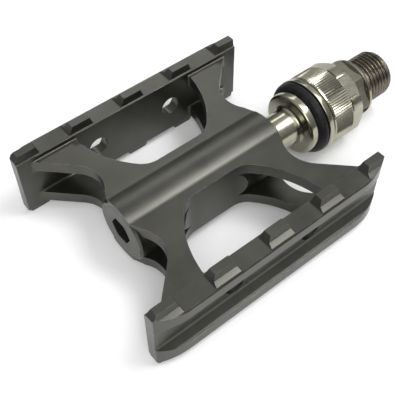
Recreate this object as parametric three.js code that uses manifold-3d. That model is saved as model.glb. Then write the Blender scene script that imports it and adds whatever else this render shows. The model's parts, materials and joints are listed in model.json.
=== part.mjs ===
// Removable flat pedal: a milled aluminium platform that spins on a steel spindle, and a
// quick-release coupling whose adapter screws into the crank arm.
// Millimetres. +X runs along the spindle towards the crank arm, +Z is up through the platform.
// The origin is the middle of the adapter face that seats against the crank arm.

import * as THREE from 'three';
import { mergeVertices } from 'three/addons/utils/BufferGeometryUtils.js';
import Module from 'manifold-3d';

const wasm = await Module();
wasm.setup();

// ---------------------------------------------------------------- driving dimensions

const GAP = 0.3; // clearance between neighbouring pieces

// platform
const RAIL_LENGTH = 75.4;
const PLATFORM_WIDTH = 68;
const TOOTH_TIP_Z = 11.5;
const RAIL_TOP_Z = 9.2;
const PLATE_TOP_Z = 8;
const PLATE_THICKNESS = 3.5;
const RAIL_HEAD_WIDTH = 5.8;
const TUBE_RADIUS = 9;
const TUBE_LENGTH = 50.2;
const INBOARD_RAIL_TO_CRANK = 22.6;
const TOOTH_COUNT = 5;
const TOOTH_LENGTH = 6.8;
const REFLECTOR_HOLE_RADIUS = 3;
const REFLECTOR_HOLE_OFFSET = 12.8; // each side of the middle of a rail

// spindle
const CORE_BORE_RADIUS = 6.2;
const BEARING_SEAT_RADIUS = 7.6;
const OUTBOARD_SEAT_DEPTH = 14.8;
const INBOARD_SEAT_DEPTH = 14;
const JOURNAL_RADIUS = 5.2;
const NECK_RADIUS = 5.5;
const FLANGE_RADIUS = 9.5;
const PLUG_RADIUS = 5.4;
const PLUG_GROOVE_RADIUS = 4.9;

// coupling
const CRANK_THREAD_RADIUS = 14.29 / 2; // 9/16 inch
const CRANK_THREAD_PITCH = 25.4 / 20; // 20 threads to the inch
const CRANK_THREAD_LENGTH = 10.5;
const ADAPTER_FRONT_X = -20.2;
const ADAPTER_TUBE_RADIUS = 8.4;
const ADAPTER_BORE_RADIUS = 5.8;
const ADAPTER_HEX_ACROSS_FLATS = 16;
const ADAPTER_COLLAR_RADIUS = 8.9;
const SLEEVE_RADIUS = 11.3;
const SLEEVE_FRONT_X = -18.1;
const SLEEVE_BACK_X = -5.9;
const KNURL_END_X = -10.5;
const SLEEVE_ACROSS_FLATS = 20.8;
const SLEEVE_LAND_RADIUS = 9.2;
const SLEEVE_CHAMBER_RADIUS = 10.1; // over the balls
const SPRING_CHAMBER_RADIUS = 9.8;
const BALL_COUNT = 3;
const BALL_RADIUS = 1.7;
const BALL_X = -14.1;
const BALL_CENTRE_RADIUS = 7.2;

// worked out from the above
const PLATFORM_X = -INBOARD_RAIL_TO_CRANK - RAIL_LENGTH / 2; // middle of the platform
const RAIL_INNER_Y = PLATFORM_WIDTH / 2 - RAIL_HEAD_WIDTH;
const OUTBOARD_TUBE_X = PLATFORM_X - TUBE_LENGTH / 2;
const INBOARD_TUBE_X = PLATFORM_X + TUBE_LENGTH / 2;

// ---------------------------------------------------------------- materials

function metal(color, roughness, metalness = 0.9) {
  return new THREE.MeshStandardMaterial({ color, roughness, metalness });
}

const anodised = () => metal(0x55544e, 0.5);
const nickel = () => metal(0xb9b59c, 0.25, 1);
const bearingSteel = () => metal(0x9a9c9e, 0.2, 1);
const darkSteel = () => metal(0x4a4a48, 0.4);
const rubber = () => metal(0x141414, 0.7, 0);
const bronze = () => metal(0xa07c46, 0.45);

// ---------------------------------------------------------------- solids

// A geometry as a manifold: one shared vertex per point, and no collapsed triangles.
function solid(geometry) {
  const bare = geometry.clone();
  bare.deleteAttribute('normal');
  bare.deleteAttribute('uv');
  const merged = mergeVertices(bare, 1e-4);
  const corners = merged.index.array;
  const kept = [];
  for (let i = 0; i < corners.length; i += 3) {
    const [a, b, c] = [corners[i], corners[i + 1], corners[i + 2]];
    if (a !== b && b !== c && c !== a) kept.push(a, b, c);
  }
  const vertProperties = new Float32Array(merged.attributes.position.array);
  const triVerts = new Uint32Array(kept);
  return new wasm.Manifold(new wasm.Mesh({ numProp: 3, vertProperties, triVerts }));
}

function geometryOf(manifold) {
  const mesh = manifold.getMesh();
  const geometry = new THREE.BufferGeometry();
  geometry.setAttribute('position', new THREE.BufferAttribute(new Float32Array(mesh.vertProperties), 3));
  geometry.setIndex(new THREE.BufferAttribute(new Uint32Array(mesh.triVerts), 1));
  geometry.computeVertexNormals();
  return geometry;
}

const X_AXIS = new THREE.Vector3(1, 0, 0);
const Y_AXIS = new THREE.Vector3(0, 1, 0);
const Z_AXIS = new THREE.Vector3(0, 0, 1);

// A (y, z) outline carried along X.
function alongX(shape, x0, x1, curveSegments = 12) {
  const geometry = new THREE.ExtrudeGeometry(shape, { depth: x1 - x0, bevelEnabled: false, curveSegments });
  geometry.applyMatrix4(new THREE.Matrix4().makeBasis(Y_AXIS, Z_AXIS, X_AXIS));
  geometry.translate(x0, 0, 0);
  return solid(geometry);
}

// A (z, x) outline carried along Y.
function alongY(shape, y0, y1, curveSegments = 12) {
  const geometry = new THREE.ExtrudeGeometry(shape, { depth: y1 - y0, bevelEnabled: false, curveSegments });
  geometry.applyMatrix4(new THREE.Matrix4().makeBasis(Z_AXIS, X_AXIS, Y_AXIS));
  geometry.translate(0, y0, 0);
  return solid(geometry);
}

// An (x, y) outline carried along Z.
function alongZ(shape, z0, z1, curveSegments = 12) {
  const geometry = new THREE.ExtrudeGeometry(shape, { depth: z1 - z0, bevelEnabled: false, curveSegments });
  geometry.translate(0, 0, z0);
  return solid(geometry);
}

function box(x0, x1, y0, y1, z0, z1) {
  const geometry = new THREE.BoxGeometry(x1 - x0, y1 - y0, z1 - z0);
  geometry.translate((x0 + x1) / 2, (y0 + y1) / 2, (z0 + z1) / 2);
  return solid(geometry);
}

// A profile of [x, radius] points turned about the spindle axis. Its outer side runs towards +X.
function turned(profile, segments = 40) {
  const points = profile.map(([x, radius]) => new THREE.Vector2(radius, x));
  const geometry = new THREE.LatheGeometry(points, segments);
  geometry.applyMatrix4(new THREE.Matrix4().makeBasis(Z_AXIS, X_AXIS, Y_AXIS));
  return solid(geometry);
}

function ring(x0, x1, innerRadius, outerRadius, segments = 24) {
  return turned(
    [[x0, innerRadius], [x0, outerRadius], [x1, outerRadius], [x1, innerRadius], [x0, innerRadius]],
    segments,
  );
}

function disc(x0, x1, radius, segments = 40) {
  return turned([[x0, 0], [x0, radius], [x1, radius], [x1, 0]], segments);
}

// A hexagon in the (y, z) plane, its first corner at the given angle from +Y.
function hexagon(acrossFlats, turn = 0) {
  const cornerRadius = acrossFlats / Math.sqrt(3);
  const shape = new THREE.Shape();
  for (let corner = 0; corner < 6; corner++) {
    const angle = turn + corner * Math.PI / 3;
    const point = [cornerRadius * Math.cos(angle), cornerRadius * Math.sin(angle)];
    if (corner === 0) shape.moveTo(...point);
    else shape.lineTo(...point);
  }
  shape.closePath();
  return shape;
}

// ---------------------------------------------------------------- platform

// Upper half of a rail's section as [distance out from its inner wall, z].
const RAIL_RECESS_DEPTH = 2.8;
const RAIL_LIP_Z = 5.8;
const railUpperHalf = [
  [0, RAIL_TOP_Z],
  [0.5, RAIL_TOP_Z],
  [0.9, TOOTH_TIP_Z],
  [3.1, TOOTH_TIP_Z],
  [3.7, RAIL_TOP_Z + 0.8],
  [5.2, RAIL_TOP_Z + 0.2],
  [RAIL_HEAD_WIDTH, RAIL_TOP_Z - 0.2],
  [RAIL_HEAD_WIDTH, RAIL_LIP_Z],
  [RAIL_HEAD_WIDTH - RAIL_RECESS_DEPTH + 0.5, RAIL_LIP_Z - 0.3],
  [RAIL_HEAD_WIDTH - RAIL_RECESS_DEPTH, RAIL_LIP_Z - 0.9],
];

function railSection() {
  const lowerHalf = railUpperHalf.map(([out, z]) => [out, -z]).reverse();
  const outline = [...railUpperHalf, ...lowerHalf];
  return new THREE.Shape(outline.map(([out, z]) => new THREE.Vector2(RAIL_INNER_Y + out, z)).reverse());
}

// Plan outline of the window milled through one side, between the tube and the rail.
const WINDOW_INNER_Y = 7.7;
const WINDOW_HALF_LENGTH = 20;

function windowOutline() {
  const shape = new THREE.Shape();
  shape.moveTo(PLATFORM_X - WINDOW_HALF_LENGTH, RAIL_INNER_Y);
  shape.quadraticCurveTo(PLATFORM_X - 18.5, 17, PLATFORM_X - 12, 10.2);
  shape.quadraticCurveTo(PLATFORM_X - 10, WINDOW_INNER_Y, PLATFORM_X - 6.5, WINDOW_INNER_Y);
  shape.lineTo(PLATFORM_X + 6.5, WINDOW_INNER_Y);
  shape.quadraticCurveTo(PLATFORM_X + 10, WINDOW_INNER_Y, PLATFORM_X + 12, 10.2);
  shape.quadraticCurveTo(PLATFORM_X + 18.5, 17, PLATFORM_X + WINDOW_HALF_LENGTH, RAIL_INNER_Y);
  shape.closePath();
  return shape;
}

// Plan outline of the scallop milled in from one end, between the tube and the rail: a round
// pocket beside the tube, then a 45 degree run out to the rail. Drawn for the +Y side.
const SCALLOP_RADIUS = 9;
const SCALLOP_CENTRE_Y = 13.3;
const SCALLOP_CENTRE_DEPTH = 6.8; // in from the ends of the rails

function scallopOutline(end) {
  const endX = PLATFORM_X + end * RAIL_LENGTH / 2;
  const at = (depth, y) => [endX - end * depth, y];
  const runStart = SCALLOP_RADIUS * Math.SQRT1_2;
  const runLength = RAIL_INNER_Y - SCALLOP_CENTRE_Y - runStart;
  const shape = new THREE.Shape();
  const tubeDepth = (RAIL_LENGTH - TUBE_LENGTH) / 2;
  shape.moveTo(...at(-1, 0));
  shape.lineTo(...at(tubeDepth, 0));
  shape.lineTo(...at(tubeDepth, TUBE_RADIUS / 2));
  const steps = 12;
  const startAngle = -Math.PI / 5;
  const endAngle = Math.PI / 4;
  for (let step = 0; step <= steps; step++) {
    const angle = startAngle + (endAngle - startAngle) * step / steps;
    const depth = SCALLOP_CENTRE_DEPTH + SCALLOP_RADIUS * Math.cos(angle);
    shape.lineTo(...at(depth, SCALLOP_CENTRE_Y + SCALLOP_RADIUS * Math.sin(angle)));
  }
  shape.lineTo(...at(SCALLOP_CENTRE_DEPTH + runStart - runLength, RAIL_INNER_Y));
  shape.lineTo(...at(-1, RAIL_INNER_Y));
  shape.closePath();
  return shape;
}

// The outer side of a rail curves in over the last stretch of each end.
const END_TAPER_LENGTH = 9.5;
const END_TAPER_DEPTH = 2.6;

function endTaperOutline(end) {
  const endX = PLATFORM_X + end * RAIL_LENGTH / 2;
  const outerY = PLATFORM_WIDTH / 2;
  const radius = (END_TAPER_LENGTH ** 2 + END_TAPER_DEPTH ** 2) / (2 * END_TAPER_DEPTH);
  const shape = new THREE.Shape();
  const steps = 5;
  shape.moveTo(endX - end * END_TAPER_LENGTH, outerY + 1);
  for (let step = 0; step <= steps; step++) {
    const run = END_TAPER_LENGTH * step / steps;
    const drop = radius - Math.sqrt(radius ** 2 - run ** 2);
    shape.lineTo(endX - end * (END_TAPER_LENGTH - run), outerY - drop);
  }
  shape.lineTo(endX + end, outerY - END_TAPER_DEPTH);
  shape.lineTo(endX + end, outerY + 1);
  shape.closePath();
  return shape;
}

// Section, in z and x, of the gap milled between two teeth, with sloping ends.
function toothGapOutline(gapIndex) {
  const pitch = (RAIL_LENGTH - TOOTH_LENGTH) / (TOOTH_COUNT - 1);
  const start = PLATFORM_X - RAIL_LENGTH / 2 + gapIndex * pitch + TOOTH_LENGTH;
  const end = start + pitch - TOOTH_LENGTH;
  const slope = 0.6;
  const floor = RAIL_TOP_Z;
  const above = TOOTH_TIP_Z + 1;
  const slopeAtTop = slope * (above - floor) / (TOOTH_TIP_Z - floor);
  return new THREE.Shape([
    new THREE.Vector2(floor, start + slope),
    new THREE.Vector2(above, start + slope - slopeAtTop),
    new THREE.Vector2(above, end - slope + slopeAtTop),
    new THREE.Vector2(floor, end - slope),
  ]);
}

// A piece together with its mirror image in a plane through the spindle axis.
const mirroredInY = (piece) => piece.add(piece.mirror([0, 1, 0]));
const mirroredInZ = (piece) => piece.add(piece.mirror([0, 0, 1]));

function plates() {
  const x0 = PLATFORM_X - RAIL_LENGTH / 2;
  const x1 = PLATFORM_X + RAIL_LENGTH / 2;
  const reach = RAIL_INNER_Y + 0.5;
  const plate = box(x0, x1, -reach, reach, PLATE_TOP_Z - PLATE_THICKNESS, PLATE_TOP_Z);
  return mirroredInZ(plate);
}

function rails() {
  const x0 = PLATFORM_X - RAIL_LENGTH / 2;
  const x1 = PLATFORM_X + RAIL_LENGTH / 2;
  let rail = alongX(railSection(), x0, x1);
  for (let gapIndex = 0; gapIndex < TOOTH_COUNT - 1; gapIndex++) {
    const gap = alongY(toothGapOutline(gapIndex), RAIL_INNER_Y - 1, PLATFORM_WIDTH / 2 + 1);
    rail = rail.subtract(mirroredInZ(gap));
  }
  for (const side of [-1, 1]) {
    const hole = new THREE.Shape();
    hole.absarc(0, PLATFORM_X + side * REFLECTOR_HOLE_OFFSET, REFLECTOR_HOLE_RADIUS, 0, 2 * Math.PI);
    rail = rail.subtract(alongY(hole, RAIL_INNER_Y - 1, PLATFORM_WIDTH / 2 + 1, 12));
    rail = rail.subtract(alongZ(endTaperOutline(side), -TOOTH_TIP_Z - 1, TOOTH_TIP_Z + 1));
  }
  return mirroredInY(rail);
}

function tubeBore() {
  const outboardSeat = disc(OUTBOARD_TUBE_X - 1, OUTBOARD_TUBE_X + OUTBOARD_SEAT_DEPTH, BEARING_SEAT_RADIUS);
  const inboardSeat = disc(INBOARD_TUBE_X - INBOARD_SEAT_DEPTH, INBOARD_TUBE_X + 1, BEARING_SEAT_RADIUS);
  const core = disc(OUTBOARD_TUBE_X, INBOARD_TUBE_X, CORE_BORE_RADIUS);
  return core.add(outboardSeat).add(inboardSeat);
}

function tube() {
  const chamfer = 0.4;
  return turned([
    [OUTBOARD_TUBE_X, 0],
    [OUTBOARD_TUBE_X, TUBE_RADIUS - chamfer],
    [OUTBOARD_TUBE_X + chamfer, TUBE_RADIUS],
    [INBOARD_TUBE_X - chamfer, TUBE_RADIUS],
    [INBOARD_TUBE_X, TUBE_RADIUS - chamfer],
    [INBOARD_TUBE_X, 0],
  ]);
}

function pedalBody() {
  let body = plates();
  for (const end of [-1, 1]) {
    const scallop = alongZ(scallopOutline(end), -PLATE_TOP_Z - 1, PLATE_TOP_Z + 1);
    body = body.subtract(mirroredInY(scallop));
  }
  const window = alongZ(windowOutline(), -PLATE_TOP_Z - 2, PLATE_TOP_Z + 2, 8);
  body = body.add(tube()).subtract(mirroredInY(window));
  return body.add(rails()).subtract(tubeBore());
}

// ---------------------------------------------------------------- outboard end

const CAP_THICKNESS = 3;
const CAP_RADIUS = BEARING_SEAT_RADIUS - GAP;
const CAP_HEX_ACROSS_FLATS = 8;

function endCap() {
  const x0 = OUTBOARD_TUBE_X + 0.3;
  const chamfer = 0.5;
  const cap = turned([
    [x0, 0],
    [x0, CAP_RADIUS - chamfer],
    [x0 + chamfer, CAP_RADIUS],
    [x0 + CAP_THICKNESS, CAP_RADIUS],
    [x0 + CAP_THICKNESS, 0],
  ]);
  return cap.subtract(alongX(hexagon(CAP_HEX_ACROSS_FLATS), x0 - 1, x0 + 2.2));
}

const O_RING_X = OUTBOARD_TUBE_X + 0.3 + CAP_THICKNESS + GAP;

function endCapORing() {
  const section = 0.5;
  const centre = CAP_RADIUS - section;
  const profile = [];
  for (let step = 0; step <= 8; step++) {
    const angle = step * Math.PI / 4;
    profile.push([O_RING_X + section - section * Math.cos(angle), centre + section * Math.sin(angle)]);
  }
  return turned(profile, 24);
}

const LOCK_NUT_X = O_RING_X + 1 + GAP;
const LOCK_NUT_THICKNESS = 3.4;
const LOCK_NUT_ACROSS_FLATS = 11;
const SPINDLE_THREAD_RADIUS = 3.4;

function lockNut() {
  const nut = alongX(hexagon(LOCK_NUT_ACROSS_FLATS), LOCK_NUT_X, LOCK_NUT_X + LOCK_NUT_THICKNESS);
  return nut.subtract(disc(LOCK_NUT_X - 1, LOCK_NUT_X + LOCK_NUT_THICKNESS + 1, SPINDLE_THREAD_RADIUS + GAP, 24));
}

const WASHER_X = LOCK_NUT_X + LOCK_NUT_THICKNESS + GAP;
const WASHER_THICKNESS = 0.8;

function spindleWasher() {
  return ring(WASHER_X, WASHER_X + WASHER_THICKNESS, SPINDLE_THREAD_RADIUS + GAP, 5);
}

// ---------------------------------------------------------------- bearings

const BALL_BEARING_X = WASHER_X + WASHER_THICKNESS + GAP;
const BALL_BEARING_WIDTH = 5;
const OUTBOARD_JOURNAL_RADIUS = 4;
const BEARING_BALL_COUNT = 8;

function ballBearingInnerRace() {
  return ring(BALL_BEARING_X, BALL_BEARING_X + BALL_BEARING_WIDTH, OUTBOARD_JOURNAL_RADIUS + GAP, 5);
}

function ballBearingOuterRace() {
  const outer = BEARING_SEAT_RADIUS - GAP;
  return ring(BALL_BEARING_X, BALL_BEARING_X + BALL_BEARING_WIDTH, 6.6, outer);
}

function ballBearingCage() {
  const middle = BALL_BEARING_X + BALL_BEARING_WIDTH / 2;
  let cage = ring(middle - 1.4, middle + 1.4, 5.5, 6.1, 24);
  for (let ball = 0; ball < BEARING_BALL_COUNT; ball++) {
    const angle = ball * 2 * Math.PI / BEARING_BALL_COUNT;
    const geometry = new THREE.IcosahedronGeometry(0.7, 0);
    geometry.translate(middle, 5.8 * Math.cos(angle), 5.8 * Math.sin(angle));
    cage = cage.add(solid(geometry));
  }
  return cage;
}

const SEAL_WIDTH = 2;
const SEAL_X = INBOARD_TUBE_X - SEAL_WIDTH;
const NEEDLE_BEARING_WIDTH = INBOARD_SEAT_DEPTH - SEAL_WIDTH - 3 * GAP;
const NEEDLE_BEARING_X = SEAL_X - GAP - NEEDLE_BEARING_WIDTH;
const NEEDLE_COUNT = 12;

function needleBearingShell() {
  const outer = BEARING_SEAT_RADIUS - GAP;
  return ring(NEEDLE_BEARING_X, NEEDLE_BEARING_X + NEEDLE_BEARING_WIDTH, outer - 0.6, outer);
}

function needleBearingCage() {
  const x0 = NEEDLE_BEARING_X + 0.6;
  const x1 = NEEDLE_BEARING_X + NEEDLE_BEARING_WIDTH - 0.6;
  let cage = ring(x0, x1, 5.85, 6.25, 24);
  for (let needle = 0; needle < NEEDLE_COUNT; needle++) {
    const angle = needle * 2 * Math.PI / NEEDLE_COUNT;
    const roller = disc(x0 + 0.8, x1 - 0.8, 0.55, 8);
    cage = cage.add(roller.translate([0, 6.05 * Math.cos(angle), 6.05 * Math.sin(angle)]));
  }
  return cage;
}

function inboardSeal() {
  return ring(SEAL_X, INBOARD_TUBE_X - 0.2, JOURNAL_RADIUS + GAP, BEARING_SEAT_RADIUS - GAP);
}

// ---------------------------------------------------------------- spindle

const FLANGE_X = ADAPTER_FRONT_X - 5.5;
const FLANGE_THICKNESS = 2.4;
const PLUG_END_X = -5;

function spindle() {
  const bearingEndX = BALL_BEARING_X + BALL_BEARING_WIDTH + GAP;
  const flangeBackX = FLANGE_X + FLANGE_THICKNESS;
  const groove = 1.7;
  return turned([
    [LOCK_NUT_X - 0.2, 0],
    [LOCK_NUT_X - 0.2, SPINDLE_THREAD_RADIUS],
    [WASHER_X + WASHER_THICKNESS, SPINDLE_THREAD_RADIUS],
    [WASHER_X + WASHER_THICKNESS, OUTBOARD_JOURNAL_RADIUS],
    [bearingEndX, OUTBOARD_JOURNAL_RADIUS],
    [bearingEndX + 1, 4.8],
    [NEEDLE_BEARING_X - 1, JOURNAL_RADIUS],
    [INBOARD_TUBE_X, JOURNAL_RADIUS],
    [INBOARD_TUBE_X + 0.5, NECK_RADIUS],
    [FLANGE_X - 1, NECK_RADIUS],
    [FLANGE_X - 0.3, NECK_RADIUS + 0.3],
    [FLANGE_X, NECK_RADIUS + 1],
    [FLANGE_X, FLANGE_RADIUS - 0.8],
    [FLANGE_X + 0.8, FLANGE_RADIUS],
    [flangeBackX, FLANGE_RADIUS],
    [flangeBackX, PLUG_RADIUS],
    [BALL_X - groove, PLUG_RADIUS],
    [BALL_X - groove + 0.5, PLUG_GROOVE_RADIUS],
    [BALL_X + groove - 0.5, PLUG_GROOVE_RADIUS],
    [BALL_X + groove, PLUG_RADIUS],
    [PLUG_END_X - 1, PLUG_RADIUS],
    [PLUG_END_X, PLUG_RADIUS - 1],
    [PLUG_END_X, 0],
  ]);
}

function bumperRing() {
  const x0 = FLANGE_X + FLANGE_THICKNESS + GAP;
  const x1 = ADAPTER_FRONT_X - GAP;
  const inner = PLUG_RADIUS + GAP;
  const outer = SLEEVE_RADIUS - 0.1;
  return turned([
    [x0, inner],
    [x0, outer - 1.7],
    [x0 + 0.6, outer - 0.6],
    [x0 + 1.5, outer],
    [x1, outer],
    [x1, inner],
    [x0, inner],
  ]);
}

// ---------------------------------------------------------------- crank adapter

const RETAINING_RING_WIDTH = 1.8;
const HEX_X = -5.6;
const COLLAR_START_X = -1.2;
const THREAD_RELIEF = 1;
const FACE_RECESS_DEPTH = 0.4;

// The crank thread as plain ridges at the thread's pitch and depth.
function crankThreadProfile() {
  const depth = 0.6;
  const profile = [];
  const ridges = Math.floor((CRANK_THREAD_LENGTH - THREAD_RELIEF - 0.6) / CRANK_THREAD_PITCH);
  for (let ridge = 0; ridge < ridges; ridge++) {
    const x = THREAD_RELIEF + 0.3 + ridge * CRANK_THREAD_PITCH;
    profile.push([x, CRANK_THREAD_RADIUS - depth]);
    profile.push([x + CRANK_THREAD_PITCH * 0.45, CRANK_THREAD_RADIUS]);
    profile.push([x + CRANK_THREAD_PITCH * 0.6, CRANK_THREAD_RADIUS]);
  }
  return profile;
}

// The collar's face is recessed round the thread, so that only flat metal meets the crank arm.
function crankAdapter() {
  const body = turned([
    [ADAPTER_FRONT_X, 0],
    [ADAPTER_FRONT_X, ADAPTER_TUBE_RADIUS],
    [HEX_X, ADAPTER_TUBE_RADIUS],
    [HEX_X, 7],
    [COLLAR_START_X, 7],
    [COLLAR_START_X, ADAPTER_COLLAR_RADIUS],
    [-0.4, ADAPTER_COLLAR_RADIUS],
    [0, ADAPTER_COLLAR_RADIUS - 0.4],
    [0, CRANK_THREAD_RADIUS + 0.3],
    [-FACE_RECESS_DEPTH, CRANK_THREAD_RADIUS + 0.1],
    [-FACE_RECESS_DEPTH, 6.3],
    [THREAD_RELIEF, 6.3],
    ...crankThreadProfile(),
    [CRANK_THREAD_LENGTH - 0.6, CRANK_THREAD_RADIUS - 0.6],
    [CRANK_THREAD_LENGTH, CRANK_THREAD_RADIUS - 1.2],
    [CRANK_THREAD_LENGTH, 0],
  ]);
  let adapter = body.add(alongX(hexagon(ADAPTER_HEX_ACROSS_FLATS), HEX_X, COLLAR_START_X + 0.2));
  adapter = adapter.subtract(disc(ADAPTER_FRONT_X - 1, PLUG_END_X + 1, ADAPTER_BORE_RADIUS));
  for (let ball = 0; ball < BALL_COUNT; ball++) {
    adapter = adapter.subtract(radialHole(ballAngle(ball)));
  }
  return adapter;
}

const ballAngle = (ball) => Math.PI / 2 + ball * 2 * Math.PI / BALL_COUNT;

// A hole through the adapter's wall, outwards at the given angle from +Y towards +Z.
function radialHole(angle) {
  const geometry = new THREE.CylinderGeometry(BALL_RADIUS + GAP, BALL_RADIUS + GAP, 6, 12);
  geometry.translate(BALL_X, 7, 0);
  geometry.rotateX(angle);
  return solid(geometry);
}

function sleeveRetainingRing() {
  const x1 = ADAPTER_FRONT_X + RETAINING_RING_WIDTH;
  const inner = ADAPTER_TUBE_RADIUS + GAP;
  const outer = SLEEVE_RADIUS + 0.1;
  return turned([
    [ADAPTER_FRONT_X, inner],
    [ADAPTER_FRONT_X, outer - 0.3],
    [ADAPTER_FRONT_X + 0.3, outer],
    [x1 - 0.3, outer],
    [x1, outer - 0.3],
    [x1, inner],
    [ADAPTER_FRONT_X, inner],
  ]);
}

const SPRING_SEAT_X = HEX_X - GAP - 0.6;

function springSeat() {
  return ring(SPRING_SEAT_X, SPRING_SEAT_X + 0.6, ADAPTER_TUBE_RADIUS + GAP, SPRING_CHAMBER_RADIUS - GAP);
}

// ---------------------------------------------------------------- locking sleeve

const SLEEVE_STEP_X = -11.6;

// Knurled at the front. The back has six flats for the fingers, with rounded corners between them.
function lockingSleeve() {
  const knurled = turned([
    [SLEEVE_FRONT_X, SLEEVE_CHAMBER_RADIUS],
    [SLEEVE_FRONT_X, SLEEVE_RADIUS - 0.3],
    [SLEEVE_FRONT_X + 0.3, SLEEVE_RADIUS],
    [SLEEVE_BACK_X - 0.9, SLEEVE_RADIUS],
    [SLEEVE_BACK_X, SLEEVE_RADIUS - 0.9],
    [SLEEVE_BACK_X, SPRING_CHAMBER_RADIUS],
    [SLEEVE_STEP_X, SPRING_CHAMBER_RADIUS],
    [SLEEVE_STEP_X, SLEEVE_LAND_RADIUS],
    [BALL_X - 1.1, SLEEVE_LAND_RADIUS],
    [BALL_X - 1.9, SLEEVE_CHAMBER_RADIUS],
    [SLEEVE_FRONT_X, SLEEVE_CHAMBER_RADIUS],
  ], 48);
  const outside = disc(KNURL_END_X, SLEEVE_BACK_X + 1, SLEEVE_RADIUS + 1);
  const flats = alongX(hexagon(SLEEVE_ACROSS_FLATS, Math.PI / 6), KNURL_END_X - 1, SLEEVE_BACK_X + 2);
  return knurled.subtract(outside.subtract(flats));
}

class Helix extends THREE.Curve {
  constructor(radius, x0, x1, turns) {
    super();
    Object.assign(this, { radius, x0, x1, turns });
  }

  getPoint(t, target = new THREE.Vector3()) {
    const angle = t * this.turns * 2 * Math.PI;
    const x = this.x0 + t * (this.x1 - this.x0);
    return target.set(x, this.radius * Math.cos(angle), this.radius * Math.sin(angle));
  }
}

function sleeveSpring() {
  const wireRadius = 0.35;
  const coilRadius = (ADAPTER_TUBE_RADIUS + SPRING_CHAMBER_RADIUS) / 2;
  const x0 = SLEEVE_STEP_X + GAP + wireRadius;
  const x1 = SPRING_SEAT_X - GAP - wireRadius;
  const wire = new THREE.Shape();
  wire.absarc(0, 0, wireRadius, 0, 2 * Math.PI);
  const extrudePath = new Helix(coilRadius, x0, x1, 2.25);
  const geometry = new THREE.ExtrudeGeometry(wire, { steps: 40, curveSegments: 3, extrudePath });
  return solid(geometry);
}

function lockingBall(ball) {
  const geometry = new THREE.SphereGeometry(BALL_RADIUS, 12, 8);
  geometry.translate(BALL_X, BALL_CENTRE_RADIUS, 0);
  geometry.rotateX(ballAngle(ball));
  return solid(geometry);
}

// ---------------------------------------------------------------- assembly

const pedal = new THREE.Group();

function addPiece(name, manifold, material) {
  const mesh = new THREE.Mesh(geometryOf(manifold), material);
  mesh.name = name;
  pedal.add(mesh);
}

addPiece('pedal_body', pedalBody(), anodised());
addPiece('end_cap', endCap(), darkSteel());
addPiece('end_cap_o_ring', endCapORing(), rubber());
addPiece('ball_bearing_outer_race', ballBearingOuterRace(), bearingSteel());
addPiece('ball_bearing_cage_and_balls', ballBearingCage(), bronze());
addPiece('ball_bearing_inner_race', ballBearingInnerRace(), bearingSteel());
addPiece('needle_bearing_shell', needleBearingShell(), bearingSteel());
addPiece('needle_bearing_cage_and_needles', needleBearingCage(), bronze());
addPiece('inboard_seal', inboardSeal(), rubber());

addPiece('spindle', spindle(), nickel());
addPiece('spindle_washer', spindleWasher(), bearingSteel());
addPiece('spindle_lock_nut', lockNut(), darkSteel());
addPiece('bumper_ring', bumperRing(), rubber());

addPiece('crank_adapter', crankAdapter(), nickel());
addPiece('sleeve_retaining_ring', sleeveRetainingRing(), nickel());
addPiece('locking_sleeve', lockingSleeve(), nickel());
addPiece('sleeve_spring', sleeveSpring(), bearingSteel());
addPiece('spring_seat', springSeat(), bearingSteel());
for (let ball = 0; ball < BALL_COUNT; ball++) {
  addPiece(`locking_ball_${ball + 1}`, lockingBall(ball), bearingSteel());
}

export default pedal;
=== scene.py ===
import json
import math

import bmesh
import bpy
from mathutils import Matrix, Vector


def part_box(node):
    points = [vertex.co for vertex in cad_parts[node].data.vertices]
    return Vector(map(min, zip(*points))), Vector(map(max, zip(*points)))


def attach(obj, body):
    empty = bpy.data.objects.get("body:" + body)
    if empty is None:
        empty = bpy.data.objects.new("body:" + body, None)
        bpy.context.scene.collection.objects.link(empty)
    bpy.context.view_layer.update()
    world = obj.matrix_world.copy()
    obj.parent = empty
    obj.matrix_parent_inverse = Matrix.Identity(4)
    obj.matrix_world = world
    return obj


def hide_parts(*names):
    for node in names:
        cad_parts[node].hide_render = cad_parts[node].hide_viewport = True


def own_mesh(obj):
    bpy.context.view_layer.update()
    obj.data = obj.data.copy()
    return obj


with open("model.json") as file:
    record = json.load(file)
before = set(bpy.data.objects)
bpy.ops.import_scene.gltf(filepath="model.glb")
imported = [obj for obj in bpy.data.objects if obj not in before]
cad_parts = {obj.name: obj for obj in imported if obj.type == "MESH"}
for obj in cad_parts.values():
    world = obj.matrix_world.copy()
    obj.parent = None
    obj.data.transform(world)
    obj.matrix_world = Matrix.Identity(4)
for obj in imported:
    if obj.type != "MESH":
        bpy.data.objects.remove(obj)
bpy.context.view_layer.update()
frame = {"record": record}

# A removable flat pedal in hard-anodised aluminium with a nickel-plated quick-release coupling.
# Metres; +X runs along the spindle towards the crank arm and +Z is up through the platform.

MM = 0.001

# ---------------------------------------------------------------- sizes read from the frame

body_lo, body_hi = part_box("pedal_body")
RAIL_X0, RAIL_X1 = body_lo[0], body_hi[0]
RAIL_LENGTH = RAIL_X1 - RAIL_X0
PLATFORM_X = (RAIL_X0 + RAIL_X1) / 2
OUTER_Y = body_hi[1]
TIP_Z = body_hi[2]
SPINDLE_NODE_LO, SPINDLE_NODE_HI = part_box("spindle")
CAP_END_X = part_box("end_cap")[1][0]
BUMPER_LO, BUMPER_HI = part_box("bumper_ring")
RING_LO, RING_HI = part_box("sleeve_retaining_ring")
SLEEVE_LO, SLEEVE_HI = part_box("locking_sleeve")
ADAPTER_LO, ADAPTER_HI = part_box("crank_adapter")
BALL_LO, BALL_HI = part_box("locking_ball_1")
BALL_X = (BALL_LO[0] + BALL_HI[0]) / 2

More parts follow.
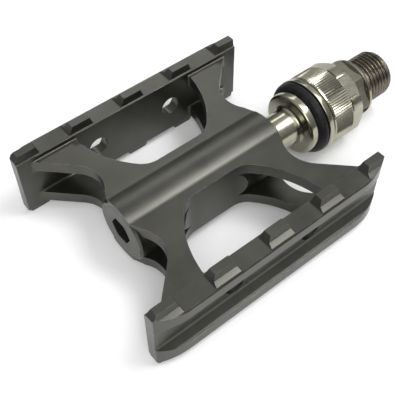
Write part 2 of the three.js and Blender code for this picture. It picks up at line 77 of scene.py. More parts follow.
# The sections below repeat the design's own sizes.
RAIL_TOP_Z = 9.2 * MM
PLATE_TOP_Z = 8 * MM
PLATE_UNDER_Z = 4.5 * MM
RAIL_HEAD = 5.8 * MM
RAIL_INNER_Y = OUTER_Y - RAIL_HEAD
RECESS_DEPTH = 2.8 * MM
TUBE_RADIUS = 9 * MM
TUBE_X0 = PLATFORM_X - 25.1 * MM
TUBE_X1 = PLATFORM_X + 25.1 * MM
TOOTH_LENGTH = 6.8 * MM
TOOTH_COUNT = 5
SEAT_RADIUS = 7.6 * MM
OUTBOARD_SEAT_DEPTH = 14.8 * MM
INBOARD_SEAT_DEPTH = 14 * MM
CORE_RADIUS = 6.2 * MM
REFLECTOR_HOLE_X = 12.8 * MM
REFLECTOR_HOLE_RADIUS = 3 * MM
KNURL_COUNT = 90
CRANK_THREAD_RADIUS = 14.29 / 2 * MM
CRANK_THREAD_PITCH = 25.4 / 20 * MM


# ---------------------------------------------------------------- outlines

def arc(centre, radius, start_deg, end_deg, steps):
    """Points along an arc, both ends included."""
    points = []
    for i in range(steps + 1):
        angle = math.radians(start_deg + (end_deg - start_deg) * i / steps)
        points.append((centre[0] + radius * math.cos(angle), centre[1] + radius * math.sin(angle)))
    return points


def curve(p0, p1, p2, steps):
    """Points along a quadratic curve, without its first point."""
    points = []
    for i in range(1, steps + 1):
        t = i / steps
        points.append(tuple(
            (1 - t) ** 2 * a + 2 * t * (1 - t) * b + t ** 2 * c for a, b, c in zip(p0, p1, p2)))
    return points


def rounded_outline(corners, steps=5):
    """A closed outline from (a, b, radius) corners, each corner rounded to its radius."""
    points = []
    count = len(corners)
    for i, (a, b, radius) in enumerate(corners):
        here = Vector((a, b))
        if radius <= 0:
            points.append((a, b))
            continue
        back = (Vector(corners[i - 1][:2]) - here)
        ahead = (Vector(corners[(i + 1) % count][:2]) - here)
        half = back.angle(ahead) / 2
        reach = min(radius / math.tan(half), 0.49 * back.length, 0.49 * ahead.length)
        start = here + back.normalized() * reach
        end = here + ahead.normalized() * reach
        for step in range(steps + 1):
            t = step / steps
            point = (1 - t) ** 2 * start + 2 * t * (1 - t) * here + t ** 2 * end
            points.append((point.x, point.y))
    return points


# ---------------------------------------------------------------- meshes

def mesh_object(name, verts, faces):
    mesh = bpy.data.meshes.new(name)
    mesh.from_pydata(verts, [], faces)
    tidy = bmesh.new()
    tidy.from_mesh(mesh)
    bmesh.ops.remove_doubles(tidy, verts=tidy.verts, dist=1e-6)
    bmesh.ops.recalc_face_normals(tidy, faces=tidy.faces)
    tidy.to_mesh(mesh)
    tidy.free()
    obj = bpy.data.objects.new(name, mesh)
    bpy.context.scene.collection.objects.link(obj)
    return obj


def prism(name, outline, axis, low, high):
    """A closed prism: axis x carries (y, z), axis y carries (x, z) and axis z carries (x, y)."""
    place = {
        "x": lambda a, b, w: (w, a, b),
        "y": lambda a, b, w: (a, w, b),
        "z": lambda a, b, w: (a, b, w),
    }[axis]
    count = len(outline)
    verts = [place(a, b, low) for a, b in outline] + [place(a, b, high) for a, b in outline]
    faces = [tuple(range(count)), tuple(range(count, 2 * count))]
    for i in range(count):
        j = (i + 1) % count
        faces.append((i, j, count + j, count + i))
    return mesh_object(name, verts, faces)


def turned(name, profile, segments=96, radius_at=None):
    """A closed solid turned about the spindle axis from (x, radius) points."""
    verts, rings = [], []
    for x, radius in profile:
        if radius <= 0:
            rings.append([len(verts)] * segments)
            verts.append((x, 0, 0))
            continue
        start = len(verts)
        for i in range(segments):
            angle = 2 * math.pi * i / segments
            r = radius_at(x, radius, angle) if radius_at else radius
            verts.append((x, r * math.cos(angle), r * math.sin(angle)))
        rings.append(list(range(start, start + segments)))
    closed = profile[0][1] > 0
    pairs = list(zip(rings, rings[1:] + (rings[:1] if closed else [])))
    faces = []
    for lower, upper in pairs:
        for i in range(segments):
            j = (i + 1) % segments
            face = []
            for v in (lower[i], lower[j], upper[j], upper[i]):
                if v not in face:
                    face.append(v)
            if len(face) > 2:
                faces.append(tuple(face))
    return mesh_object(name, verts, faces)


def joined(name, objects):
    """Several separate solids as one object."""
    whole = bmesh.new()
    for obj in objects:
        whole.from_mesh(obj.data)
        bpy.data.objects.remove(obj)
    mesh = bpy.data.meshes.new(name)
    whole.to_mesh(mesh)
    whole.free()
    result = bpy.data.objects.new(name, mesh)
    bpy.context.scene.collection.objects.link(result)
    return result


def mirrored(obj, axis):
    """A solid and its mirror image across the plane through the origin, as one object."""
    scale = Vector((1, 1, 1))
    scale[axis] = -1
    twin_mesh = obj.data.copy()
    twin_mesh.transform(Matrix.Diagonal(scale.to_4d()))
    twin_mesh.flip_normals()
    twin = bpy.data.objects.new(obj.name + "_twin", twin_mesh)
    bpy.context.scene.collection.objects.link(twin)
    return joined(obj.name, [obj, twin])


def combine(obj, tool, operation):
    """obj joined with, or cut by, tool, which is used up."""
    modifier = obj.modifiers.new("combine", "BOOLEAN")
    modifier.operation = operation
    modifier.solver = "EXACT"
    modifier.object = tool
    bake(obj)
    bpy.data.objects.remove(tool)
    return obj


def bake(obj):
    """Turns an object's modifiers into its own mesh."""
    depsgraph = bpy.context.evaluated_depsgraph_get()
    mesh = bpy.data.meshes.new_from_object(obj.evaluated_get(depsgraph))
    obj.modifiers.clear()
    obj.data = mesh
    return obj


def clean(obj, flat_deg=0.6):
    """Merges flat neighbours and drops slivers, ready for bevels."""
    work = bmesh.new()
    work.from_mesh(obj.data)
    bmesh.ops.remove_doubles(work, verts=work.verts, dist=0.01 * MM)
    bmesh.ops.dissolve_limit(
        work, angle_limit=math.radians(flat_deg), verts=work.verts, edges=work.edges)
    bmesh.ops.recalc_face_normals(work, faces=work.faces)
    work.to_mesh(obj.data)
    work.free()
    return obj


def soften(obj, width, segments=3, angle_deg=28):
    """Rounds the sharp edges and shades the rest smooth."""
    obj.data.shade_smooth()
    bevel = obj.modifiers.new("soft_edges", "BEVEL")
    bevel.width = width
    bevel.segments = segments
    bevel.limit_method = "ANGLE"
    bevel.angle_limit = math.radians(angle_deg)
    bevel.harden_normals = True
    bevel.use_clamp_overlap = True
    bevel.miter_outer = "MITER_ARC"
    bake(obj)
    return obj


def smooth(obj, sharp_deg):
    """Shades smooth, but keeps edges over sharp_deg crisp."""
    obj.data.shade_smooth()
    obj.data.set_sharp_from_angle(angle=math.radians(sharp_deg))
    return obj


# ---------------------------------------------------------------- node materials

class Material:
    """A principled material with short calls for the nodes it uses."""

    def __init__(self, name):
        self.material = bpy.data.materials.new(name)
        self.material.use_nodes = True
        self.tree = self.material.node_tree
        self.shader = self.tree.nodes["Principled BSDF"]
        self.position = self.node("ShaderNodeTexCoord").outputs["Object"]

    def node(self, kind, **settings):
        made = self.tree.nodes.new(kind)
        for key, value in settings.items():
            setattr(made, key, value)
        return made

    def link(self, source, target):
        self.tree.links.new(source, target)

    def stretched(self, scale):
        """The position, scaled by a different amount along each axis."""
        mapping = self.node("ShaderNodeMapping")
        mapping.inputs["Scale"].default_value = scale
        self.link(self.position, mapping.inputs["Vector"])
        return mapping.outputs["Vector"]

    def noise(self, size, detail=3, vector=None, roughness=0.55):
        """Noise whose features are about size metres across."""
        texture = self.node("ShaderNodeTexNoise")
        texture.inputs["Scale"].default_value = 1 / size
        texture.inputs["Detail"].default_value = detail
        texture.inputs["Roughness"].default_value = roughness
        self.link(vector or self.position, texture.inputs["Vector"])
        return texture.outputs["Fac"]

    def ramp(self, value, stops):
        """A value mapped through (position, grey or colour) stops."""
        ramp = self.node("ShaderNodeValToRGB")
        elements = ramp.color_ramp.elements
        while len(elements) < len(stops):
            elements.new(0.5)
        for element, (place, tone) in zip(elements, stops):
            element.position = place
            element.color = (*tone, 1) if isinstance(tone, tuple) else (tone, tone, tone, 1)
        self.link(value, ramp.inputs["Fac"])
        return ramp.outputs["Color"]

    def span(self, value, low, high):
        """A 0 to 1 value mapped to low to high."""
        mapped = self.node("ShaderNodeMapRange")
        mapped.inputs["From Min"].default_value = 0.25
        mapped.inputs["From Max"].default_value = 0.75
        mapped.inputs["To Min"].default_value = low
        mapped.inputs["To Max"].default_value = high
        self.link(value, mapped.inputs["Value"])
        return mapped.outputs["Result"]

    def mix(self, factor, a, b):
        """Colour a to colour b by factor."""
        mixer = self.node("ShaderNodeMix", data_type="RGBA")
        self.link(factor, mixer.inputs["Factor"])
        for value, socket in ((a, mixer.inputs[6]), (b, mixer.inputs[7])):
            if isinstance(value, tuple):
                socket.default_value = (*value, 1)
            else:
                self.link(value, socket)
        return mixer.outputs[2]

    def math(self, operation, a, b):
        node = self.node("ShaderNodeMath", operation=operation)
        for value, socket in ((a, node.inputs[0]), (b, node.inputs[1])):
            if isinstance(value, (int, float)):
                socket.default_value = value
            else:
                self.link(value, socket)
        return node.outputs[0]

    def edges(self, radius):
        """1 on edges tighter than about radius, 0 on open faces."""
        bevel = self.node("ShaderNodeBevel", samples=4)
        bevel.inputs["Radius"].default_value = radius
        geometry = self.node("ShaderNodeNewGeometry")
        dot = self.node("ShaderNodeVectorMath", operation="DOT_PRODUCT")
        self.link(bevel.outputs["Normal"], dot.inputs[0])
        self.link(geometry.outputs["Normal"], dot.inputs[1])
        return self.ramp(dot.outputs["Value"], [(0.90, 1.0), (0.99, 0.0)])

    def bump(self, *layers):
        """Bump from (height, distance) layers, stacked."""
        normal = None
        for height, distance in layers:
            bump = self.node("ShaderNodeBump")
            bump.inputs["Strength"].default_value = 1.0
            bump.inputs["Distance"].default_value = distance
            self.link(height, bump.inputs["Height"])
            if normal:
                self.link(normal, bump.inputs["Normal"])
            normal = bump.outputs["Normal"]
        self.link(normal, self.shader.inputs["Normal"])

    def colour(self, value):
        self.link(value, self.shader.inputs["Base Color"])

    def roughness(self, value):
        self.link(value, self.shader.inputs["Roughness"])

    def metallic(self, value):
        self.shader.inputs["Metallic"].default_value = value


def anodised_aluminium():
    """Hard-anodised dark grey: a blasted grain, faint extrusion lines and worn edges."""
    m = Material("anodised_aluminium")
    m.metallic(0.9)
    clouds = m.noise(9 * MM, 4)
    base = m.ramp(clouds, [(0.3, (0.078, 0.077, 0.066)), (0.7, (0.098, 0.097, 0.086))])
    edges = m.edges(0.35 * MM)
    worn = m.math("MULTIPLY", edges, m.ramp(m.noise(2.2 * MM, 5), [(0.42, 0.0), (0.62, 0.8)]))
    m.colour(m.mix(worn, base, (0.22, 0.22, 0.2)))
    grain = m.noise(0.16 * MM, 2)
    blend = m.math("ADD", m.math("MULTIPLY", clouds, 0.6), m.math("MULTIPLY", grain, 0.4))
    m.roughness(m.span(blend, 0.28, 0.38))
    lines = m.noise(0.25 * MM, 2, m.stretched((0.02, 1, 1)))
    m.bump((grain, 0.012 * MM), (lines, 0.004 * MM))
    return m.material


NICKEL_DARK, NICKEL_LIGHT = (0.31, 0.30, 0.235), (0.40, 0.388, 0.31)
# Painted shade: the crank thread gets a darker, browner copy of the nickel than the rest of the adapter.
THREAD_SHADE_DARK, THREAD_SHADE_LIGHT = (0.11, 0.095, 0.075), (0.19, 0.168, 0.135)


def nickel_plate(name="nickel_plated_steel", rough=(0.13, 0.24), dark=NICKEL_DARK, light=NICKEL_LIGHT):
    """Satin nickel with a slight champagne tint and fine turning lines round the axis."""
    m = Material(name)
    m.metallic(1.0)
    clouds = m.noise(5 * MM, 4)
    m.colour(m.ramp(clouds, [(0.3, dark), (0.7, light)]))
    turning = m.noise(0.12 * MM, 2, m.stretched((1, 0.04, 0.04)))
    blend = m.math("ADD", m.math("MULTIPLY", clouds, 0.5), m.math("MULTIPLY", turning, 0.5))
    m.roughness(m.span(blend, *rough))
    m.bump((turning, 0.003 * MM))
    return m.material


def black_rubber():
    m = Material("black_rubber")
    m.metallic(0.0)
    dust = m.noise(1.4 * MM, 5)
    m.colour(m.ramp(dust, [(0.4, (0.008, 0.008, 0.009)), (0.75, (0.02, 0.02, 0.021))]))
    m.roughness(m.span(dust, 0.4, 0.55))
    m.shader.inputs["Specular IOR Level"].default_value = 0.2
    m.bump((m.noise(0.2 * MM, 3), 0.01 * MM))
    return m.material


def bearing_steel():
    m = Material("bearing_steel")
    m.metallic(1.0)
    grain = m.noise(0.15 * MM, 2, m.stretched((1, 0.05, 0.05)))
    m.colour(m.ramp(m.noise(4 * MM), [(0.3, (0.5, 0.51, 0.52)), (0.7, (0.58, 0.59, 0.6))]))
    m.roughness(m.span(grain, 0.12, 0.24))
    m.bump((grain, 0.002 * MM))
    return m.material


def blackened_steel():
    m = Material("blackened_steel")
    m.metallic(0.9)
    stain = m.noise(1.5 * MM, 5)
    m.colour(m.ramp(stain, [(0.35, (0.045, 0.044, 0.042)), (0.7, (0.09, 0.088, 0.084))]))
    m.roughness(m.span(stain, 0.35, 0.55))
    m.bump((m.noise(0.2 * MM), 0.006 * MM))
    return m.material


def bronze_cage():
    m = Material("bronze_cage")
    m.metallic(1.0)
    m.colour(m.ramp(m.noise(1.5 * MM, 4), [(0.35, (0.35, 0.22, 0.09)), (0.7, (0.46, 0.31, 0.13))]))
    m.roughness(m.span(m.noise(0.3 * MM), 0.3, 0.45))
    m.bump((m.noise(0.15 * MM), 0.004 * MM))
    return m.material


def pale_floor():
    m = Material("pale_floor")
    m.metallic(0.0)
    m.colour(m.ramp(m.noise(0.2, 2), [(0.3, 0.86), (0.7, 0.9)]))
    m.shader.inputs["Roughness"].default_value = 0.9
    m.shader.inputs["Emission Color"].default_value = (1, 1, 1, 1)
    m.shader.inputs["Emission Strength"].default_value = 0.12
    return m.material


MATERIALS = {
    "anodised_aluminium": anodised_aluminium(),
    "nickel_plated_steel": nickel_plate(),
    "black_rubber": black_rubber(),
    "bearing_steel": bearing_steel(),
    "blackened_steel": blackened_steel(),
    "bronze_cage": bronze_cage(),
}


def finish_piece(obj, body, slot, *nodes, material=None):
    """Gives a piece its material and body, and lets it stand for its CAD nodes."""
    obj.data.materials.clear()
    obj.data.materials.append(material or MATERIALS[slot])
    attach(obj, body)
    if nodes:
        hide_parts(*nodes)
    return obj


# ---------------------------------------------------------------- pedal body

def section_outline():
    """The extruded section's outline: two plates that run out to the toothed rails."""
    crown_radius, fillet = 13 * MM, 4 * MM
    crown_z = TUBE_RADIUS - crown_radius
    rise = PLATE_TOP_Z + fillet - crown_z
    fillet_y = math.sqrt((crown_radius + fillet) ** 2 - rise ** 2)
    lean = math.degrees(math.atan2(rise, fillet_y))
    crown = arc((0, crown_z), crown_radius, 89.5, lean, 10)
    crown += arc((fillet_y, PLATE_TOP_Z + fillet), fillet, 180 + lean, 270, 7)[1:]
    rail = [
        (0, PLATE_TOP_Z, 0.8), (0, RAIL_TOP_Z, 0.15), (0.5 * MM, RAIL_TOP_Z, 0.25), (0.9 * MM, TIP_Z, 0),
        (3.1 * MM, TIP_Z, 0), (3.8 * MM, RAIL_TOP_Z + 0.85 * MM, 0.15),
        (5.3 * MM, RAIL_TOP_Z + 0.18 * MM, 0),
        (RAIL_HEAD, RAIL_TOP_Z - 0.3 * MM, 0), (RAIL_HEAD, 5.9 * MM, 0),
        (RAIL_HEAD - 0.8 * MM, 5.5 * MM, 0.3), (RAIL_HEAD - RECESS_DEPTH, 3.8 * MM, 1.6),
    ]
    quarter = [(y, z, 0) for y, z in crown]
    quarter += [(RAIL_INNER_Y + out, z, radius * MM) for out, z, radius in rail]
    right = quarter + [(y, -z, radius) for y, z, radius in reversed(quarter)]
    left = [(-y, z, radius) for y, z, radius in reversed(right)]
    return rounded_outline(right + left)


def hollow_outline():
    """The hollow between the plates on one side; the tube closes its inner end."""
    inner, outer, z = 6.5 * MM, RAIL_INNER_Y, PLATE_UNDER_Z
    return rounded_outline([(inner, -z, 0), (outer, -z, MM), (outer, z, MM), (inner, z, 0)])


def window_outline():
    """The window milled through one side, between the tube and the rail."""
    def at(x, y):
        return (PLATFORM_X + x * MM, y * MM)

    half = [(20, RAIL_INNER_Y / MM)]
    half += curve(half[0], (18.5, 17), (12, 10.2), 16)
    half += curve((12, 10.2), (10, 7.7), (6.5, 7.7), 10)
    corner = [(18.6, RAIL_INNER_Y / MM)] + curve((18.6, RAIL_INNER_Y / MM), half[0], half[1], 5)
    side = corner + half[2:]
    return [at(x, y) for x, y in side] + [at(-x, y) for x, y in reversed(side)]


def scallop_outline(end):
    """The scallop milled in from one end: a round pocket by the tube, then a 45 degree run out."""
    end_x = PLATFORM_X + end * RAIL_LENGTH / 2
    radius, centre_y, centre_depth = 9 * MM, 13.3 * MM, 6.8 * MM
    tube_depth = TUBE_X0 - RAIL_X0
    run_start = radius * math.sqrt(0.5)
    run_length = RAIL_INNER_Y - centre_y - run_start
    points = [(-MM, 0), (tube_depth, 0), (tube_depth, TUBE_RADIUS / 2)]
    points += arc((centre_depth, centre_y), radius, -36, 45, 18)
    root_depth = centre_depth + run_start - run_length
    points += curve(
        (root_depth + MM, RAIL_INNER_Y - MM), (root_depth, RAIL_INNER_Y),
        (root_depth - 1.4 * MM, RAIL_INNER_Y), 5)
    points.append((-MM, RAIL_INNER_Y))
    return [(end_x - end * depth, y) for depth, y in points]


def end_taper_outline(end):
    """The outer side of a rail curves in over the last stretch of each end."""
    length, depth = 9.5 * MM, 2.6 * MM
    end_x = PLATFORM_X + end * RAIL_LENGTH / 2
    radius = (length ** 2 + depth ** 2) / (2 * depth)
    points = [(end_x - end * length, OUTER_Y + MM)]
    for step in range(13):
        run = length * step / 12
        inset = radius - math.sqrt(radius ** 2 - run ** 2)
        points.append((end_x - end * (length - run), OUTER_Y - inset))
    points += [(end_x + end * MM, OUTER_Y - depth), (end_x + end * MM, OUTER_Y + MM)]
    return points


def tooth_gaps():
    """The gaps milled across both rails between the teeth, with sloping ends."""
    pitch = (RAIL_LENGTH - TOOTH_LENGTH) / (TOOTH_COUNT - 1)
    inboard_slope, outboard_slope = 0.7 * MM, 1.5 * MM
    above = TIP_Z + MM
    over = MM / (TIP_Z - RAIL_TOP_Z)
    first = [
        (RAIL_X0 - MM, RAIL_TOP_Z - 0.6 * MM), (RAIL_X0 + outboard_slope * (1 + over), above),
        (RAIL_X0 - MM, above)]
    cutters = [prism("first_end", first, "y", -OUTER_Y - MM, OUTER_Y + MM)]
    for gap in range(TOOTH_COUNT - 1):
        start = RAIL_X0 + gap * pitch + TOOTH_LENGTH
        end = RAIL_X0 + (gap + 1) * pitch
        outline = rounded_outline([
            (start - over * inboard_slope, above, 0), (start + inboard_slope, RAIL_TOP_Z, 0.5 * MM),
            (end - 0.3 * MM, RAIL_TOP_Z, 0.5 * MM),
            (end + outboard_slope * (0.8 + over), above, 0)], 4)
        cutters.append(prism("gap", outline, "y", -OUTER_Y - MM, OUTER_Y + MM))
    return mirrored(joined("gaps", cutters), 2)


def reflector_holes():
    holes = []
    for side in (-1, 1):
        outline = arc((PLATFORM_X + side * REFLECTOR_HOLE_X, 0), REFLECTOR_HOLE_RADIUS, 0, 352.5, 47)
        holes.append(prism("hole", outline, "y", RAIL_INNER_Y - MM, OUTER_Y + MM))
    return mirrored(joined("holes", holes), 1)


def tube():
    chamfer = 0.6 * MM
    return turned("tube", [
        (TUBE_X0, 0), (TUBE_X0, TUBE_RADIUS - chamfer), (TUBE_X0 + chamfer, TUBE_RADIUS),
        (TUBE_X1 - chamfer, TUBE_RADIUS), (TUBE_X1, TUBE_RADIUS - chamfer), (TUBE_X1, 0)], 128)


def tube_bore():
    seat_0 = TUBE_X0 + OUTBOARD_SEAT_DEPTH
    seat_1 = TUBE_X1 - INBOARD_SEAT_DEPTH
    return turned("bore", [
        (TUBE_X0 - MM, 0), (TUBE_X0 - MM, SEAT_RADIUS), (seat_0, SEAT_RADIUS), (seat_0, CORE_RADIUS),
        (seat_1, CORE_RADIUS), (seat_1, SEAT_RADIUS), (TUBE_X1 + MM, SEAT_RADIUS), (TUBE_X1 + MM, 0)], 96)


def pedal_body():
    high = PLATE_TOP_Z + 3 * MM
    body = prism("platform", section_outline(), "x", RAIL_X0, RAIL_X1)
    hollow = prism("hollow", hollow_outline(), "x", RAIL_X0 - MM, RAIL_X1 + MM)
    combine(body, mirrored(hollow, 1), "DIFFERENCE")
    scallops = joined("scallops", [
        mirrored(prism("scallop", scallop_outline(end), "z", -high, high), 1) for end in (-1, 1)])
    combine(body, scallops, "DIFFERENCE")
    combine(body, tube(), "UNION")
    window = prism("window", window_outline(), "z", -high, high)
    combine(body, mirrored(window, 1), "DIFFERENCE")
    combine(body, tooth_gaps(), "DIFFERENCE")
    tapers = joined("tapers", [
        mirrored(prism("taper", end_taper_outline(end), "z", -TIP_Z - MM, TIP_Z + MM), 1)
        for end in (-1, 1)])
    combine(body, tapers, "DIFFERENCE")
    combine(body, reflector_holes(), "DIFFERENCE")
    combine(body, tube_bore(), "DIFFERENCE")
    clean(body)
    soften(body, 0.25 * MM)
    return finish_piece(body, "pedal", "anodised_aluminium", "pedal_body")


# ---------------------------------------------------------------- end cap

def hexagon(across_flats, turn_deg=0):
    corner = across_flats / math.sqrt(3)
    return arc((0, 0), corner, turn_deg, turn_deg + 300, 5)


def end_cap():
    x0, x1, radius = TUBE_X0 - 0.05 * MM, CAP_END_X, SEAT_RADIUS - 0.03 * MM
    cap = turned("cap_disc", [
        (x0, 0), (x0, radius), (x1, radius), (x1, 0)], 96)
    combine(cap, prism("socket", hexagon(7 * MM), "x", x0 - MM, x0 + 2.2 * MM), "DIFFERENCE")
    clean(cap)
    soften(cap, 0.1 * MM)
    return finish_piece(cap, "pedal", "anodised_aluminium", "end_cap")


# ---------------------------------------------------------------- spindle

def spindle():
    """The spindle's neck, its flange and the plug behind it."""
    x0, x1 = SPINDLE_NODE_LO[0], SPINDLE_NODE_HI[0]
    flange_x = BUMPER_LO[0] - 2.7 * MM
    flange_back = flange_x + 2.4 * MM
    plug, groove_floor, flange, neck = 5.4 * MM, 4.9 * MM, 9.5 * MM, 5.5 * MM
    profile = [
        (x0, 0), (x0, 3.4 * MM), (x0 + 5 * MM, 3.4 * MM), (x0 + 5 * MM, 4 * MM), (x0 + 10 * MM, 4 * MM),
        (TUBE_X1 - 15 * MM, 5.2 * MM), (TUBE_X1, 5.2 * MM), (TUBE_X1 + 0.5 * MM, neck),
        (flange_x - MM, neck)]
    profile += arc((flange_x - MM, neck + MM), MM, 270, 360, 8)[1:]
    profile += [(flange_x, flange - 0.9 * MM)]
    profile += arc((flange_x + 0.9 * MM, flange - 0.9 * MM), 0.9 * MM, 180, 90, 8)[1:]
    profile += [
        (flange_back, flange), (flange_back, plug), (BALL_X - 1.7 * MM, plug),
        (BALL_X - 1.2 * MM, groove_floor), (BALL_X + 1.2 * MM, groove_floor), (BALL_X + 1.7 * MM, plug),
        (x1 - MM, plug), (x1, plug - MM), (x1, 0)]
    shaft = turned("shaft", profile, 128)
    return finish_piece(smooth(shaft, 30), "spindle", "nickel_plated_steel", "spindle")


def bumper_ring():
    x0, x1, outer = BUMPER_LO[0], BUMPER_HI[0], BUMPER_HI[1]
    inner = 5.7 * MM
    outline = rounded_outline([
        (x0, inner, 0), (x0, outer - 1.5 * MM, 0.5 * MM), (x0 + 0.7 * MM, outer - 0.5 * MM, 0.8 * MM),
        (x0 + 1.7 * MM, outer, MM), (x1, outer, 0.3 * MM), (x1, inner, 0)], 8)
    ring = turned("rubber_ring", outline, 128)
    return finish_piece(smooth(ring, 40), "spindle", "black_rubber", "bumper_ring")


# ---------------------------------------------------------------- coupling

def retaining_ring():
    x0, x1, outer = RING_LO[0], RING_HI[0], RING_HI[1]
    inner = 8.7 * MM
    outline = rounded_outline([
        (x0, inner, 0), (x0, outer, 0.4 * MM), (x1, outer, 0.4 * MM), (x1, inner, 0)], 6)
    ring = turned("retaining_ring", outline, 128)
    return finish_piece(smooth(ring, 40), "adapter", "nickel_plated_steel", "sleeve_retaining_ring")


def locking_sleeve():
    """The sleeve: fine straight knurling in front, six flats with a chamfered end behind."""
    x0, x1, outer = SLEEVE_LO[0], SLEEVE_HI[0], SLEEVE_HI[1]
    knurl_start, knurl_end = x0 + 0.8 * MM, x0 + 7.6 * MM
    land_end, land_start = x0 + 6.5 * MM, x0 + 2.9 * MM
    ball_chamber, spring_chamber, land = 10.1 * MM, 9.8 * MM, 9.2 * MM
    apothem, chamfer = 10.4 * MM, 0.9 * MM
    profile = [
        (x0, ball_chamber), (x0, outer - 0.35 * MM), (x0 + 0.15 * MM, outer - 0.15 * MM),
        (knurl_start - 0.15 * MM, outer - 0.1 * MM), (knurl_start, outer), (knurl_end - 0.1 * MM, outer),
        (knurl_end, outer - 0.35 * MM), (knurl_end + 0.25 * MM, outer - 0.35 * MM),
        (knurl_end + 0.35 * MM, outer)]
    for step in range(11):
        profile.append((x1 - chamfer * (1 - step / 10), outer - chamfer * step / 10))
    profile += [
        (x1, spring_chamber), (land_end, spring_chamber), (land_end, land), (land_start, land),
        (land_start - 0.8 * MM, ball_chamber)]

    def surface(x, radius, angle):
        if radius < apothem - 0.01 * MM:
            return radius
        if x > knurl_end + 0.3 * MM:
            from_flat = (angle + math.pi / 6) % (math.pi / 3) - math.pi / 6
            return min(radius, apothem / math.cos(from_flat))
        if knurl_start <= x < knurl_end and radius > outer - 0.01 * MM:
            phase = (angle * KNURL_COUNT / (2 * math.pi)) % 1
            return radius - 0.26 * MM * abs(2 * phase - 1)
        return radius

    sleeve = turned("knurled_sleeve", profile, KNURL_COUNT * 4, surface)
    return finish_piece(smooth(sleeve, 32), "sleeve", "nickel_plated_steel", "locking_sleeve")


def crank_thread(start, end, root_x):
    """A helical 9/16 inch x 20 thread that runs in and out at its ends."""
    pitch, major, depth = CRANK_THREAD_PITCH, CRANK_THREAD_RADIUS, 0.62 * MM
    per_pitch = 12
    steps = round((end - start) / pitch * per_pitch)

    def thread_radius(x, _, angle):
        phase = (x / pitch + angle / (2 * math.pi)) % 1
        ridge = min(1, max(0, 1.6 * (1 - abs(2 * phase - 1)) - 0.15))
        run_in = min(1, (x - start) / (0.8 * pitch), (end - x) / (0.9 * pitch))
        return major - depth + depth * ridge * max(0, run_in)

    profile = [(root_x, 0)]
    profile += [(start + (end - start) * i / steps, major) for i in range(steps + 1)]
    profile.append((end, 0))
    return turned("thread", profile, 96, thread_radius)


def crank_adapter():
    """The adapter: a tube inside the sleeve, the wrench hexagon, the collar and the crank thread."""
    front, end = ADAPTER_LO[0], ADAPTER_HI[0]
    hex_x, collar_x, recess_x = SLEEVE_HI[0] + 0.3 * MM, -1.2 * MM, -0.4 * MM
    tube_radius, bore, collar, relief = 8.4 * MM, 5.8 * MM, 8.9 * MM, 6.3 * MM
    bore_end = SPINDLE_NODE_HI[0] + MM
    core = turned("core", [
        (bore_end, 0), (bore_end, bore), (front, bore), (front, tube_radius), (hex_x, tube_radius),
        (hex_x, 7 * MM), (collar_x, 7 * MM), (collar_x, collar), (-0.4 * MM, collar),
        (0, collar - 0.4 * MM), (0, 7.45 * MM), (recess_x, 7.25 * MM), (recess_x, relief),
        (0.9 * MM, relief), (0.9 * MM, 0)], 128)
    block = prism("hex", hexagon(16 * MM), "x", hex_x, collar_x + 0.2 * MM)
    corners = turned("hex_corners", [
        (hex_x, 0), (hex_x, 8.5 * MM), (hex_x + 0.7 * MM, 9.2 * MM), (collar_x - 0.6 * MM, 9.2 * MM),
        (collar_x + 0.2 * MM, 8.2 * MM), (collar_x + 0.2 * MM, 0)], 96)
    combine(block, corners, "INTERSECT")
    combine(core, block, "UNION")
    for ball in range(3):
        angle = math.pi / 2 + ball * 2 * math.pi / 3
        hole = turned("ball_hole", [(5 * MM, 0), (5 * MM, 2 * MM), (10 * MM, 2 * MM), (10 * MM, 0)], 32)
        hole.data.transform(Matrix.Translation((BALL_X, 0, 0)) @ Matrix.Rotation(angle, 4, "X")
                            @ Matrix.Rotation(math.pi / 2, 4, "Z"))
        combine(core, hole, "DIFFERENCE")
    clean(core)
    soften(core, 0.2 * MM)
    finish_piece(core, "adapter", "nickel_plated_steel", "crank_adapter")
    thread = crank_thread(0.7 * MM, end, 0.7 * MM)
    # The thread's nickel is painted darker than the collar's, as painted shade.
    painted_shade_nickel = nickel_plate("thread_steel_painted_shade", (0.2, 0.34), THREAD_SHADE_DARK, THREAD_SHADE_LIGHT)
    return finish_piece(smooth(thread, 50), "adapter", "nickel_plated_steel", material=painted_shade_nickel)


def sleeve_spring():
    """The wire spring behind the sleeve, built as one fixed coil."""
    low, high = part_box("sleeve_spring")
    wire, coil, turns, steps, sides = 0.35 * MM, 9.1 * MM, 2.25, 160, 12
    start, end = low[0] + wire, high[0] - wire
    verts, faces = [], []
    for step in range(steps + 1):
        along = start + (end - start) * step / steps
        angle = 2 * math.pi * turns * step / steps
        for side in range(sides):
            turn = 2 * math.pi * side / sides
            radius = coil + wire * math.cos(turn)
            x = along + wire * math.sin(turn)
            verts.append((x, radius * math.cos(angle), radius * math.sin(angle)))
    for step in range(steps):
        for side in range(sides):
            here, beside = step * sides + side, step * sides + (side + 1) % sides
            faces.append((here, beside, beside + sides, here + sides))
    faces.append(tuple(range(sides)))
    faces.append(tuple(range(steps * sides, (steps + 1) * sides)))
    spring = smooth(mesh_object("wire_spring", verts, faces), 50)
    finish_piece(spring, "adapter", "bearing_steel", "sleeve_spring")
    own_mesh(spring)
    return spring


# ---------------------------------------------------------------- pieces that keep their CAD shape

def finish_cad_nodes():
    """Gives every CAD node that still shows the material of its record slot."""
    slots = {part["node"]: part["material_slot"] for part in frame["record"]["subparts"]}
    for node, slot in slots.items():
        obj = bpy.data.objects.get(node)
        if obj is None or slot not in MATERIALS:
            continue
        if not obj.material_slots:
            obj.data.materials.append(MATERIALS[slot])
        for holder in obj.material_slots:
            holder.material = MATERIALS[slot]


# ---------------------------------------------------------------- studio

FLOOR_HALF_SIZE = 3.0
BACKDROP_SIDES = 48


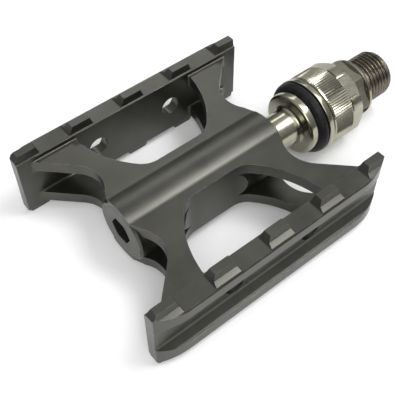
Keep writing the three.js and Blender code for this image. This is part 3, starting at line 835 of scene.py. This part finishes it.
def floor_and_backdrop():
    """A pale floor, and a pale wall far round it that the object doesn't reflect."""
    size, z = FLOOR_HALF_SIZE, body_lo[2]
    corners = [(-size, -size, z), (size, -size, z), (size, size, z), (-size, size, z)]
    plane = mesh_object("floor", corners, [(0, 1, 2, 3)])
    ring = arc((0, 0), 0.97 * size, 0, 360 * (1 - 1 / BACKDROP_SIDES), BACKDROP_SIDES - 1)
    verts = [(x, y, z) for x, y in ring] + [(x, y, z + size) for x, y in ring]
    faces = []
    for i in range(BACKDROP_SIDES):
        j = (i + 1) % BACKDROP_SIDES
        faces.append((i, j, BACKDROP_SIDES + j, BACKDROP_SIDES + i))
    wall = mesh_object("wall", verts, faces)
    wall.visible_diffuse = False
    wall.visible_glossy = False
    wall.visible_shadow = False
    material = pale_floor()
    for piece in (plane, wall):
        piece.data.materials.append(material)


def area_light(name, position, target, size, power):
    data = bpy.data.lights.new(name, "AREA")
    data.shape = "RECTANGLE"
    data.size, data.size_y = size
    data.energy = power
    light = bpy.data.objects.new(name, data)
    light.location = position
    direction = Vector(target) - Vector(position)
    light.rotation_euler = direction.to_track_quat("-Z", "Y").to_euler()
    bpy.context.scene.collection.objects.link(light)


def sky():
    """A soft dome, bright overhead and dark towards the horizon."""
    world = bpy.data.worlds.new("studio")
    world.use_nodes = True
    nodes, links = world.node_tree.nodes, world.node_tree.links
    direction = nodes.new("ShaderNodeTexCoord").outputs["Generated"]
    height = nodes.new("ShaderNodeSeparateXYZ")
    links.new(direction, height.inputs["Vector"])
    ramp = nodes.new("ShaderNodeValToRGB")
    stops = [(0.0, 0.10), (0.22, 0.26), (0.5, 0.40), (0.8, 0.62)]
    while len(ramp.color_ramp.elements) < len(stops):
        ramp.color_ramp.elements.new(0.5)
    for element, (place, tone) in zip(ramp.color_ramp.elements, stops):
        element.position = place
        element.color = (tone, tone, tone, 1)
    links.new(height.outputs["Z"], ramp.inputs["Fac"])
    links.new(ramp.outputs["Color"], nodes["Background"].inputs["Color"])
    nodes["Background"].inputs["Strength"].default_value = 1.0
    bpy.context.scene.world = world


def studio():
    """Four softboxes round the platform, under a soft dome."""
    sky()
    middle = Vector((PLATFORM_X, 0, 0))
    area_light("overhead", middle + 0.6 * Vector((0.384, -0.04, 0.923)), middle, (0.14, 0.14), 0.4)
    area_light("behind", middle + 0.8 * Vector((0.384, 0.648, 0.66)), middle, (0.3, 0.12), 0.4)
    area_light("front", middle + 0.8 * Vector((-0.45, -0.55, 0.70)), middle, (0.5, 0.5), 2.8)
    area_light("key", middle + 0.8 * Vector((0.384, -0.261, 0.886)), middle, (0.3, 0.3), 2.4)


def camera():
    """Looks down on the outboard end, with the coupling at the far right."""
    azimuth, elevation, roll = math.radians(-38.45), math.radians(51.88), math.radians(-0.72)
    distance = 0.198
    target = Vector((PLATFORM_X - 2.8 * MM, -5.1 * MM, 0))
    back = Vector((
        math.sin(azimuth) * math.cos(elevation),
        -math.cos(azimuth) * math.cos(elevation),
        math.sin(elevation)))
    data = bpy.data.cameras.new("camera")
    data.lens = 66.5
    data.sensor_width = 36
    data.clip_start = 0.01
    view = bpy.data.objects.new("camera", data)
    view.location = target + back * distance
    turn = back.to_track_quat("Z", "Y").to_matrix() @ Matrix.Rotation(roll, 3, "Z")
    view.rotation_euler = turn.to_euler()
    bpy.context.scene.collection.objects.link(view)
    bpy.context.scene.camera = view


pedal_body()
end_cap()
spindle()
bumper_ring()
retaining_ring()
locking_sleeve()
crank_adapter()
sleeve_spring()
finish_cad_nodes()
floor_and_backdrop()
studio()
camera()

bpy.context.scene.view_settings.view_transform = "Standard"
